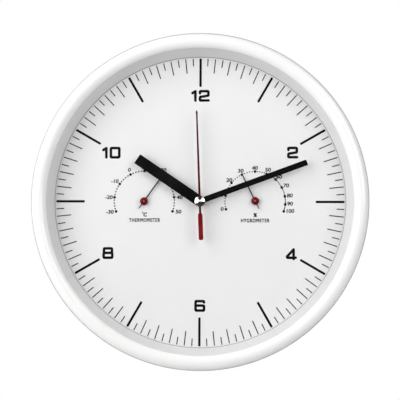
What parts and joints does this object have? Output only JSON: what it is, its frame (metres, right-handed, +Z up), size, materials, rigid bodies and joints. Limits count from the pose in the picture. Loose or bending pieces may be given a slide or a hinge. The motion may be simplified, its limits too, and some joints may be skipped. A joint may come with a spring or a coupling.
{
  "type": "wall clock",
  "caption": "Round wall clock with hour, minute and second hands under glass, and a dial thermometer and hygrometer set into the dial.",
  "frame": {"origin": "on the axis of the hands, in the wall plane that the rear rim lies in", "axes": "+Z up the dial to 12, +X to the right as the dial is read, +Y into the wall, so the dial faces -Y"},
  "size_m": [0.3, 0.048, 0.3],
  "materials": {
    "case_white": "glossy white moulded plastic",
    "clear_glass": "flat clear glass",
    "ring_white": "glossy white moulded plastic",
    "dial_paper": "matt off-white printed sheet",
    "dial_board": "matt off-white moulded plate",
    "cover_grey": "matt white moulded plastic",
    "screw_steel": "zinc-plated steel",
    "movement_black": "black moulded plastic",
    "brass": "turned brass",
    "rubber": "black rubber",
    "bobbin_white": "natural nylon",
    "copper_wire": "enamelled copper wire",
    "stator_iron": "soft iron sheet",
    "board_green": "green circuit board",
    "crystal_can": "drawn metal can",
    "contact_metal": "nickel-plated spring strip",
    "cell_wrap": "printed sleeve over a steel can",
    "rotor_dark": "plastic-bonded magnet",
    "wheel_plastic": "natural acetal",
    "knob_black": "black moulded plastic, knurled",
    "hand_black": "matt black paint on aluminium",
    "collet_brass": "turned brass",
    "hand_red": "dark red paint on aluminium",
    "cap_metal": "spun bright metal",
    "sensor_cup": "natural moulded plastic",
    "strip_metal": "spring strip",
    "pin_steel": "turned steel",
    "hub_red": "glossy red plastic"
  },
  "bodies": {
    "case": {"frame": "case_white", "glass": "clear_glass", "inner_ring": "ring_white", "dial_sheet": "dial_paper", "dial_plate": "dial_board", "back_cover": "cover_grey", "cover_screws": "screw_steel", "dial_screws": "screw_steel", "movement_screws": "screw_steel", "movement_front": "movement_black", "movement_rear": "movement_black", "centre_post": "brass", "rubber_washer": "rubber", "coil_bobbin": "bobbin_white", "coil_winding": "copper_wire", "stator": "stator_iron", "circuit_board": "board_green", "quartz_crystal": "crystal_can", "contact_plus": "contact_metal", "contact_minus": "contact_metal", "battery": "cell_wrap", "thermometer_housing": "sensor_cup", "thermometer_vent": "sensor_cup", "thermometer_coil": "strip_metal", "hygrometer_housing": "sensor_cup", "hygrometer_vent": "sensor_cup", "hygrometer_coil": "strip_metal"},
    "second_hand": {"second_hand": "hand_red", "second_collet": "collet_brass", "hub_cap": "cap_metal", "seconds_wheel": "wheel_plastic"},
    "minute_hand": {"minute_hand": "hand_black", "minute_collet": "collet_brass", "minute_wheel": "wheel_plastic"},
    "hour_hand": {"hour_hand": "hand_black", "hour_collet": "collet_brass", "hour_wheel": "wheel_plastic"},
    "rotor": {"rotor": "rotor_dark"},
    "fifth_wheel": {"fifth_wheel": "wheel_plastic"},
    "third_wheel": {"third_wheel": "wheel_plastic"},
    "motion_wheel": {"motion_wheel": "wheel_plastic"},
    "setting_knob": {"setting_knob": "knob_black"},
    "thermometer_pointer": {"thermometer_shaft": "pin_steel", "thermometer_pointer": "hand_red", "thermometer_hub": "hub_red"},
    "hygrometer_pointer": {"hygrometer_shaft": "pin_steel", "hygrometer_pointer": "hand_red", "hygrometer_hub": "hub_red"}
  },
  "joints": [
    {"name": "second_hand_spin", "type": "hinge", "parent": "case", "child": "second_hand", "pos_m": [0, -0.02, 0], "axis": [0, 1, 0], "continuous": true},
    {"name": "minute_hand_spin", "type": "hinge", "parent": "case", "child": "minute_hand", "pos_m": [0, -0.02, 0], "axis": [0, 1, 0], "continuous": true},
    {"name": "hour_hand_spin", "type": "hinge", "parent": "case", "child": "hour_hand", "pos_m": [0, -0.02, 0], "axis": [0, 1, 0], "continuous": true},
    {"name": "rotor_spin", "type": "hinge", "parent": "case", "child": "rotor", "pos_m": [0.01482, -0.02, 0.00909], "axis": [0, 1, 0], "continuous": true},
    {"name": "fifth_wheel_spin", "type": "hinge", "parent": "case", "child": "fifth_wheel", "pos_m": [0.00778, -0.02, 0.00652], "axis": [0, 1, 0], "continuous": true},
    {"name": "third_wheel_spin", "type": "hinge", "parent": "case", "child": "third_wheel", "pos_m": [-0.00958, -0.02, 0.00349], "axis": [0, 1, 0], "continuous": true},
    {"name": "motion_wheel_spin", "type": "hinge", "parent": "case", "child": "motion_wheel", "pos_m": [-0.00156, -0.02, 0.00886], "axis": [0, 1, 0], "continuous": true},
    {"name": "setting_knob_spin", "type": "hinge", "parent": "case", "child": "setting_knob", "pos_m": [-0.00759, -0.02, 0.01746], "axis": [0, 1, 0], "continuous": true},
    {"name": "thermometer_pointer_turn", "type": "hinge", "parent": "case", "child": "thermometer_pointer", "pos_m": [-0.05, -0.028, 0.0004], "axis": [0, 1, 0], "range_deg": [-145.6, 74.4], "stiffness_Nm_per_rad": 0.0005, "deforming": ["thermometer_coil"]},
    {"name": "hygrometer_pointer_turn", "type": "hinge", "parent": "case", "child": "hygrometer_pointer", "pos_m": [0.0492, -0.028, 0.0004], "axis": [0, 1, 0], "range_deg": [-78.5, 135], "stiffness_Nm_per_rad": 0.0005, "deforming": ["hygrometer_coil"]}
  ],
  "couplings": [
    {"joint": "minute_hand_spin", "follows": "second_hand_spin", "ratio": 0.016667},
    {"joint": "hour_hand_spin", "follows": "second_hand_spin", "ratio": 0.0013889},
    {"joint": "rotor_spin", "follows": "second_hand_spin", "ratio": 30},
    {"joint": "fifth_wheel_spin", "follows": "second_hand_spin", "ratio": -6},
    {"joint": "third_wheel_spin", "follows": "second_hand_spin", "ratio": -0.13333},
    {"joint": "motion_wheel_spin", "follows": "second_hand_spin", "ratio": -0.0055556},
    {"joint": "setting_knob_spin", "follows": "second_hand_spin", "ratio": 0.01}
  ]
}
